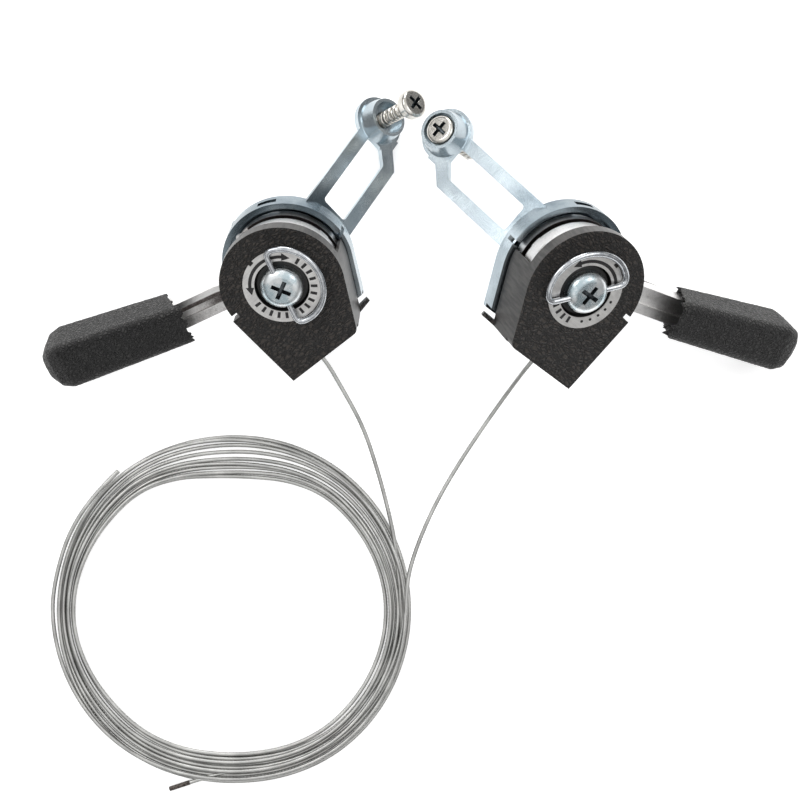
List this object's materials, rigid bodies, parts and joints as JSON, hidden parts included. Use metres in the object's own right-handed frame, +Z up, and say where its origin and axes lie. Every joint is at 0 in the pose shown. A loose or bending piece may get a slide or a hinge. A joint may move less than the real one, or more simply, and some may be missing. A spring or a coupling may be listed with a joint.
{
  "type": "thumb shifter pair",
  "caption": "Left and right friction thumb shifters with strap clamps, grained grips on cast levers, and inner cables wound together in a coil.",
  "frame": {"origin": "on the surface the pair lies on, under the middle of the two shifters without their cables", "axes": "+Z up from the surface; +X from the left shifter to the right one; +Y from the cable coil to the clamp straps"},
  "size_m": [0.2361, 0.2224, 0.059],
  "materials": {
    "zinc_steel": "bright zinc-plated pressed steel",
    "screw_steel": "nickel-plated machined steel",
    "cast_aluminium": "die-cast aluminium, lightly polished",
    "grained_black": "leather-grained black plastic",
    "black_nylon": "plain black nylon",
    "dial_metal": "brushed sheet with black printed scale",
    "ring_wire": "bright drawn wire",
    "cable_steel": "galvanised stranded cable",
    "solder": "dark soldered cable end"
  },
  "bodies": {
    "brackets_and_cables": {"left_clamp_bracket": "zinc_steel", "left_pivot_post": "screw_steel", "left_rear_friction_washer": "black_nylon", "left_front_friction_washer": "screw_steel", "left_spring_washer": "screw_steel", "left_pressure_cap": "black_nylon", "left_cover": "grained_black", "left_dial_plate": "dial_metal", "left_clamp_nut": "zinc_steel", "left_cable_lead": "cable_steel", "left_cable_coil": "cable_steel", "left_cable_end": "solder", "right_clamp_bracket": "zinc_steel", "right_pivot_post": "screw_steel", "right_rear_friction_washer": "black_nylon", "right_front_friction_washer": "screw_steel", "right_spring_washer": "screw_steel", "right_pressure_cap": "black_nylon", "right_cover": "grained_black", "right_dial_plate": "dial_metal", "right_clamp_nut": "zinc_steel", "right_cable_lead": "cable_steel", "right_cable_coil": "cable_steel", "right_cable_end": "solder"},
    "left_lever": {"left_lever_drum": "cast_aluminium", "left_pivot_bush": "black_nylon", "left_grip": "grained_black", "left_cable_nipple": "cast_aluminium", "left_cable_wrap": "cable_steel"},
    "left_screw": {"left_tension_screw": "zinc_steel"},
    "left_ring": {"left_d_ring": "ring_wire"},
    "left_clamp_bolt": {"left_clamp_screw": "screw_steel"},
    "right_lever": {"right_lever_drum": "cast_aluminium", "right_pivot_bush": "black_nylon", "right_grip": "grained_black", "right_cable_nipple": "cast_aluminium", "right_cable_wrap": "cable_steel"},
    "right_screw": {"right_tension_screw": "zinc_steel"},
    "right_ring": {"right_d_ring": "ring_wire"},
    "right_clamp_bolt": {"right_clamp_screw": "screw_steel"}
  },
  "joints": [
    {"name": "left_lever_pull", "type": "hinge", "parent": "brackets_and_cables", "child": "left_lever", "pos_m": [-0.04182, -0.0108, 0.02747], "axis": [0.0494, 0.5036, -0.8625], "range_deg": [0, 105]},
    {"name": "left_tension_turn", "type": "hinge", "parent": "brackets_and_cables", "child": "left_screw", "pos_m": [-0.04236, -0.01634, 0.03696], "axis": [-0.0494, -0.5036, 0.8625], "continuous": true},
    {"name": "left_ring_fold", "type": "hinge", "parent": "left_screw", "child": "left_ring", "pos_m": [-0.04239, -0.01662, 0.03744], "axis": [0.3719, -0.8107, -0.4521], "range_deg": [0, 180]},
    {"name": "left_clamp_bolt_turn", "type": "hinge", "parent": "brackets_and_cables", "child": "left_clamp_bolt", "pos_m": [-0.01173, 0.03895, 0.00917], "axis": [0.5979, 0.1823, 0.7806], "continuous": true},
    {"name": "right_lever_pull", "type": "hinge", "parent": "brackets_and_cables", "child": "right_lever", "pos_m": [0.0438, -0.01337, 0.03977], "axis": [0.3287, -0.4873, 0.809], "range_deg": [0, 105]},
    {"name": "right_tension_turn", "type": "hinge", "parent": "brackets_and_cables", "child": "right_screw", "pos_m": [0.04742, -0.01873, 0.04867], "axis": [0.3287, -0.4873, 0.809], "continuous": true},
    {"name": "right_ring_fold", "type": "hinge", "parent": "right_screw", "child": "right_ring", "pos_m": [0.0476, -0.019, 0.04911], "axis": [0.9417, 0.2337, -0.2418], "range_deg": [0, 180]},
    {"name": "right_clamp_bolt_turn", "type": "hinge", "parent": "brackets_and_cables", "child": "right_clamp_bolt", "pos_m": [0.00588, 0.032, 0.02727], "axis": [-0.4538, 0.1795, 0.8728], "continuous": true}
  ]
}
